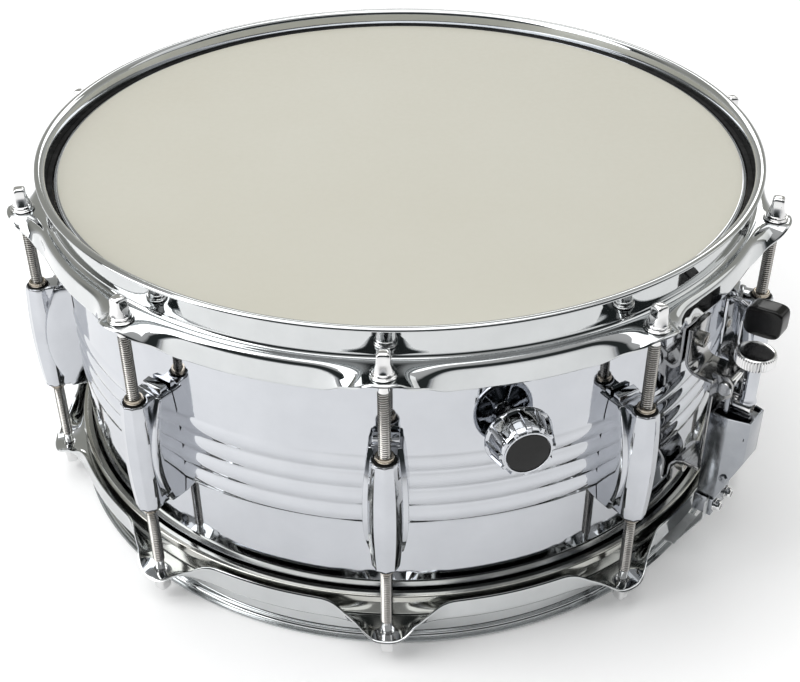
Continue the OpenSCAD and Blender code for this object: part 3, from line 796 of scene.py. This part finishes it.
# ---------------------------------------------------------------- muffler
def muffler():
    n, ribs = 192, 12

    def section(x, r, rib):
        row = []
        for i in range(n):
            t = 2 * math.pi * i / n
            u = (i * ribs / n) % 1
            lift = rib if u < 0.15 or u > 0.85 else 0
            rr = r + lift
            row.append((x, rr * math.cos(t), MUFFLER_Z + rr * math.sin(t)))
        return row

    levels = [(194.0, 12.6, 0), (188.2, 12.8, 0), (187.3, 13.4, 0), (187.1, 14.4, 0), (187.25, 15.15, 0),
              (187.9, 15.45, 0), (188.6, 15.35, 0),
              (189.0, 15.0, 0.1), (189.4, 14.1, 0.9), (193.0, 13.2, 1.0), (196.8, 12.2, 1.05),
              (198.7, 11.7, 1.1), (199.1, 11.4, 1.25),
              (199.4, 11.15, 1.25), (199.5, 11.0, 0.7), (199.55, 10.9, 0), (199.65, 10.75, 0),
              (200.05, 10.7, 0), (200.1, 10.55, 0),
              (200.1, 10.05, 0), (199.9, 9.95, 0), (199.3, 9.9, 0)]
    knob = grid([section(*lv) for lv in levels], False, True, True)
    boss = turned([(3.1, 187.3), (5.0, 187.3), (5.2, 187.6), (5.2, 194.2)], (0, MUFFLER_Z), 40, "x")
    webs = []
    for i in range(6):
        a = math.radians(i * 60 + 15)
        web = box_part((188.6, 4.8, -0.9), (194.2, 13.0, 0.9), 0.15)
        webs.append(moved(web, lambda v, a=a: (v[0], v[1] * math.cos(a) - v[2] * math.sin(a),
                                               MUFFLER_Z + v[1] * math.sin(a) + v[2] * math.cos(a))))
    parts = [(*knob, MUFFLER, 0), (*boss, MUFFLER, 0)] + [(*w, MUFFLER, 0) for w in webs]
    build("muffler_knob_body", parts, chrome_cast, "muffler_knob", ["muffler_knob"], 30)
    disc = turned([(9.8, 199.2), (9.8, 199.65), (9.6, 199.8), (9.0, 199.86), (0.5, 199.9)], (0, MUFFLER_Z),
                  64, "x")
    build("muffler_knob_inlay", [(*disc, MUFFLER)], black_enamel, "muffler_knob", ["muffler_inlay"])
    stem = turned([(2.6, 167.4), (3.0, 167.9), (3.0, 187.5)], (0, MUFFLER_Z), 32, "x")
    build("muffler_stem_rod", [(*stem, MUFFLER)], steel_thread, "muffler_knob", ["muffler_stem"])


muffler()


# ---------------------------------------------------------------- strainer
def strip(path, thick, y0, y1, edge=0.25):
    """A bent strip of sheet: path in the x-z plane, its width along y."""
    pts = [Vector(p) for p in path]
    left, rightside = [], []
    for i, p in enumerate(pts):
        d = (pts[min(i + 1, len(pts) - 1)] - pts[max(i - 1, 0)]).normalized()
        nrm = Vector((-d.y, d.x)) * thick / 2
        left.append(tuple(p + nrm))
        rightside.append(tuple(p - nrm))
    return slab(left + rightside[::-1], y0, y1, "xz", edge)


def strainer():
    az = STRAINER
    top_bend = arc(186.2, 119.5, 7.0, 180, 270, 8)
    low_bend = arc(186.2, 52.5, 7.0, 180, 90, 8)
    base = [(*strip([(179.2, 135.9), (179.2, 128)] + top_bend + [(190, 112.5), (193.9, 112.5)], 2, -11, 8.6),
             az),
            (*strip([(179.2, 45.1), (179.2, 49)] + low_bend + [(190, 59.5), (193.9, 59.5)], 2, -11, 8.6), az),
            (*box_part((192, -8.4, 58.6), (194, 8.4, 113.4), 0.3), az)]
    cheek = rounded([(192.2, 103.4), (199, 103.4), (203.2, 107), (203.2, 114.3), (200.6, 116.8),
                     (192.2, 116.8)], [0.3, 2, 2.2, 2.2, 1.5, 0.5], 4)
    for y in (-9.45, 7.95):
        base.append((*slab(cheek, y, y + 1.5, "xz", 0.25), az))
    build("strainer_bracket", base, strainer_steel, "drum", ["strainer_base"], 35)
    screws = []
    for z in (49.5, 126):
        screws.append((*turned([(3.8, 180.2), (3.8, 181.6), (3.4, 182.5), (2.4, 183.0), (0.4, 183.1)], (0, z),
                               32, "x"), az))
    build("strainer_bracket_screws", screws, nut_metal, "drum")

    # housing: bevelled box, open at the top, its front drawn in at the bottom
    def front_x(z):
        if z >= 71:
            return 214.2
        if z >= 45.5:
            return 204 + (z - 45.5) * 10.2 / 25.5
        return 204

    def plan(z, inset):
        fx = front_x(z) - inset
        half_front = 7.4 - inset * 0.8
        cx = min(204.0, fx - 0.4)
        t = (fx - 204) / 10.2 if fx > 204.4 else 0.0
        yf = 10.2 - inset - (10.2 - inset - half_front) * max(0, t)
        back = 194.7 + inset
        r = 0.35
        loop = [(back, -10.2 + inset), (cx, -10.2 + inset), (fx, -yf), (fx, yf), (cx, 10.2 - inset),
                (back, 10.2 - inset)]
        return rounded(loop, r, 2)

    rows = []
    wall = 1.3
    for z, ins in ((86, wall), (94.6, wall), (94.9, wall - 0.2), (95.0, wall - 0.5), (95.0, 0.4),
                   (94.8, 0.12), (94.4, 0.0), (85, 0), (71.6, 0), (71, 0),
                   (70.4, 0), (60, 0), (50, 0), (46.4, 0), (45.6, 0.05), (45.2, 0.25), (45.1, 0.6),
                   (45.1, wall), (50, wall), (70, wall)):
        rows.append([(x, y, z) for x, y in plan(z, ins)])
    house = grid(rows, False, True, True)
    bridge = box_part((195.2, -3.6, 93), (213.4, 3.6, 94.9), 0.3)
    parts = [(*house, az), (*bridge, az)]
    for y in (-9.3, 9.3):
        s = 1 if y > 0 else -1
        parts.append((*turned([(2.1, y), (2.1, y + s * 0.9), (1.7, y + s * 1.3), (0.3, y + s * 1.4)],
                              (206.6, 59.4), 24, "y"), az))
    build("strainer_housing_box", parts, strainer_satin, "strainer_carriage", ["strainer_housing"], 24)
    # A dark block inside the open housing: painted shade in its hollow.
    build("strainer_housing_painted_shade", [(*box_part((196.4, -8, 84), (212.4, 7, 86), 0.2), az)], painted_shade,
          "strainer_carriage")

    nut = turned([(3.5, 196.4), (3.8, 196.8), (3.8, 210.6), (3.5, 211.0), (2.3, 211.0), (2.3, 209.0),
                  (0.3, 208.8)], (0, 98.8), 48, "x")
    build("strainer_cross_nut", [(*nut, az)], chrome_small, "strainer_carriage", ["barrel_nut"])
    link = [(200.8, 86.0), (200.8, 104.5)] + arc(197.8, 104.5, 3.0, 0, 75, 6) + [(196.0, 107.6)]
    build("strainer_link", [(*strip(link, 2.6, -7.4, -4.9, 0.8), az)], strainer_satin, "strainer_carriage")
    sleeve = turned([(2.2, 101.8), (4.3, 101.8), (4.5, 102.2), (4.3, 103.2), (3.8, 104.2), (3.75, 105),
                     (3.75, 123.0), (3.5, 123.6), (2.2, 123.7)],
                    (207.6, 0), 48)
    build("strainer_sleeve", [(*sleeve, az)], chrome_cast, "strainer_carriage", ["screw_sleeve"])

    # thumb wheel: flat top with a worn, slightly dished face and straight knurling
    n, teeth = 352, 44
    rows = []
    for r, z, k in ((2.2, 124.0, 0), (8.3, 124.0, 0), (8.9, 124.2, 0), (9.3, 124.7, 0.25), (9.45, 125.2, 0.5),
                    (9.45, 129.0, 0.5), (9.3, 129.5, 0.25),
                    (9.0, 129.95, 0), (8.6, 130.2, 0), (8.0, 130.3, 0), (6.8, 130.25, 0), (0.3, 130.0, 0)):
        row = []
        for i in range(n):
            t = 2 * math.pi * i / n
            rr = r + k * (0.5 - 1.5 * abs(2 * ((i * teeth / n) % 1) - 1))
            row.append((207.6 + rr * math.cos(t), rr * math.sin(t), z))
        rows.append(row)
    build("tension_wheel", [(*grid(rows, False, True, True), az)], chrome_small, "thumb_screw",
          ["thumb_wheel"], 30)

    # slider, clamp block and plate
    slide = [(*box_part((199.3, -6.2, 76), (211, 6.2, 87), 0.3), az),
             (*strip([(200.05, 77), (200.05, 60), (200.05, 43.2)], 1.7, -7, 7), az),
             (*box_part((193.2, -9.5, 33), (200.85, 9.5, 43.6), 0.7), az)]
    build("clamp_slider", slide, strainer_satin, "strap_clamp", ["slider_block"], 30)
    build("clamp_face", [(*box_part((201.3, -9.5, 33), (203.5, 9.5, 43.6), 0.5), az)], strainer_satin,
          "strap_clamp", ["clamp_plate"])
    heads = []
    for y in (-6, 6):
        heads.append((*turned([(3.5, 203.5), (3.5, 204.3), (2.9, 204.4), (2.9, 206.0), (2.4, 206.7),
                               (1.5, 206.9), (1.4, 205.8), (0.2, 205.8)], (y, 38.5), 32, "x"), az))
    build("clamp_screw_heads", heads, chrome_small, "strap_clamp", ["clamp_screws"])

    # lever blade with its boss, and the rubber cap
    blade = rounded([(186.5, 117), (188.5, 109), (194, 104.6), (202, 104.6), (205.3, 108), (205.3, 113),
                     (202, 117), (196, 120), (194.5, 124),
                     (194.5, 136), (196, 137.6), (210, 139), (210, 145.5), (196, 145.5), (193, 147),
                     (188.5, 147), (186.5, 145)],
                    [2, 3, 3, 3, 1.5, 1.5, 2, 2, 2, 1.5, 1, 0, 0, 1, 1.5, 1.0, 1.0], 4)
    build("lever_blade", [(*slab(blade, 10.25, 12.15, "xz", 0.45, 3), az)], chrome_cast, "lever",
          ["throw_lever"], 30)
    cap_rows = []
    cx, cz, hx, hz = 206.4, 143.0, 8.9, 7.6
    for k in range(21):
        t = -1 + 2 * k / 20
        y = 8.6 + 5.0 * math.sin(t * math.pi / 2)
        shrink = (1 - abs(t) ** 7) ** (1 / 2.2) if abs(t) < 1 else 0.0
        shrink = max(shrink, 0.2)
        row = []
        for i in range(56):
            a = 2 * math.pi * i / 56
            c, s = math.cos(a), math.sin(a)
            q = (abs(c) ** 4.2 + abs(s) ** 4.2) ** (-1 / 4.2)
            sx, sz = hx - 1.7 * (1 - shrink) * 2, hz - 1.7 * (1 - shrink) * 2
            x = q * c * sx
            z = q * s * sz
            row.append((cx + x, y, cz + z + 0.06 * x))
        cap_rows.append(row)
    build("lever_grip", [(*grid(cap_rows, False, True, True), az)], black_rubber, "lever", ["lever_cap"], 60)
    pin = turned([(1.9, -11.2), (3.3, -11.2), (3.5, -10.9), (3.5, -10.0), (3.3, -9.8), (2.0, -9.8),
                  (2.0, 12.2), (3.0, 12.2), (3.2, 12.5), (3.0, 13.0),
                  (0.3, 13.2)], (199.5, 111), 32, "y")
    build("lever_pivot", [(*pin, az)], chrome_small, "lever", ["lever_pin"])


strainer()


# ---------------------------------------------------------------- snares
def snares():
    step, wire_r = 1.25, 0.74
    rows = []
    n, m = 10, 4
    shape = [0.0, 0.75, 1.0, 0.75]
    length = 152.0
    count = int(2 * length / step * m)
    for k in range(count + 1):
        row = []
        for i in range(n + 1):
            x = -length + (k / m + i / n) * step - step / 2
            x = min(max(x, -length), length)
            r = wire_r - 0.22 * (1 - shape[k % m])
            row.append((x, r * math.cos(2 * math.pi * i / n), 7.2 + r * math.sin(2 * math.pi * i / n)))
        rows.append(row)
    one = grid(rows, False, False)
    parts = []
    for i in range(20):
        dy = 2 * (i - 9.5)
        parts.append((*moved(one, lambda v, dy=dy: (v[0], v[1] + dy, v[2])), STRAINER))
    build("snare_coils", parts, spring_steel, "snares", ["snare_wires"], 60)


snares()


# ---------------------------------------------------------------- materials of the nodes that stay
STAY = {"lug_springs": spring_steel, "lug_screws": zinc, "tension_screw": steel_thread,
        "strainer_base_screws": zinc,
        "strainer_strap": strap_plastic, "butt_strap": strap_plastic, "wire_end_plates": zinc,
        "butt_bracket": chrome_cast,
        "butt_clamp_plate": chrome_small, "butt_screws": chrome_small, "muffler_bracket": inner_steel,
        "muffler_nut": chrome_small,
        "muffler_arm": inner_steel, "muffler_felt": felt}
for node_name, mat in STAY.items():
    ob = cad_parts[node_name]
    ob.data.materials.clear()
    ob.data.materials.append(mat)
